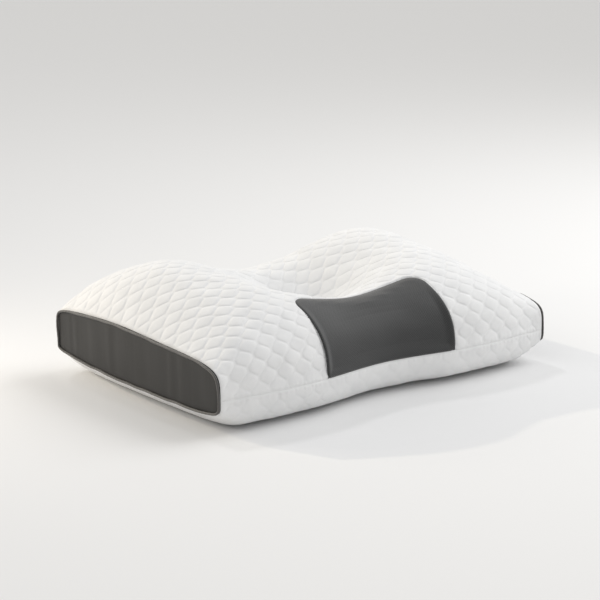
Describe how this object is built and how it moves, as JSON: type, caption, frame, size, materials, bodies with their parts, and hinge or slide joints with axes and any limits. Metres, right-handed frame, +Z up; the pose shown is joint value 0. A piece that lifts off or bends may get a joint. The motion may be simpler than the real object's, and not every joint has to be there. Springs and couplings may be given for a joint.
{
  "type": "cervical pillow",
  "caption": "Contoured neck-support pillow with a head hollow, raised wings, a mesh neck panel, piped end panels and a zipped cover over a fibre-filled core.",
  "frame": {"origin": "centre of the pillow's footprint, on the surface that it rests on", "axes": "+X along the length towards the end where the closed zip's slider rests, +Y towards the crown of the head and the zip, +Z up; the neck panel faces -Y"},
  "size_m": [0.6198, 0.441, 0.1801],
  "materials": {
    "quilted_knit": "white quilted knit",
    "neck_mesh": "charcoal spacer mesh",
    "end_satin": "dark grey close weave with a soft sheen",
    "piping_cord": "near-black covered cord",
    "label_satin": "white satin ribbon, blank",
    "zip_tape": "white woven tape",
    "zip_nylon": "white nylon coil",
    "zip_metal": "plain plated metal",
    "core_cloth": "plain white lining cloth",
    "fibre_fill": "loose white polyester fibre"
  },
  "bodies": {
    "pillow": {"top_cover": "quilted_knit", "bottom_cover": "quilted_knit", "neck_panel": "neck_mesh", "left_end_panel": "end_satin", "right_end_panel": "end_satin", "left_piping": "piping_cord", "right_piping": "piping_cord", "care_label": "label_satin", "zip_upper_tape": "zip_tape", "zip_lower_tape": "zip_tape", "zip_upper_coil": "zip_nylon", "zip_lower_coil": "zip_nylon", "zip_closed_stop": "zip_metal", "zip_open_stop": "zip_metal", "core_top": "core_cloth", "core_bottom": "core_cloth", "core_left_end": "core_cloth", "core_right_end": "core_cloth", "left_partition": "core_cloth", "right_partition": "core_cloth", "front_partition": "core_cloth", "back_partition": "core_cloth", "left_wing_fill": "fibre_fill", "right_wing_fill": "fibre_fill", "neck_roll_fill": "fibre_fill", "head_cradle_fill": "fibre_fill", "crown_roll_fill": "fibre_fill"},
    "slider": {"zip_slider": "zip_metal"},
    "pull": {"zip_pull": "zip_metal"}
  },
  "joints": [
    {"name": "zip_slider_travel", "type": "hinge", "parent": "pillow", "child": "slider", "pos_m": [0, 1.3015, 0.0525], "axis": [0, 0, 1], "range_deg": [-13.98, 0]},
    {"name": "zip_pull_swing", "type": "hinge", "parent": "slider", "child": "pull", "pos_m": [0.1335, 0.21376, 0.0525], "axis": [0, 0, -1], "range_deg": [0, 170]}
  ]
}
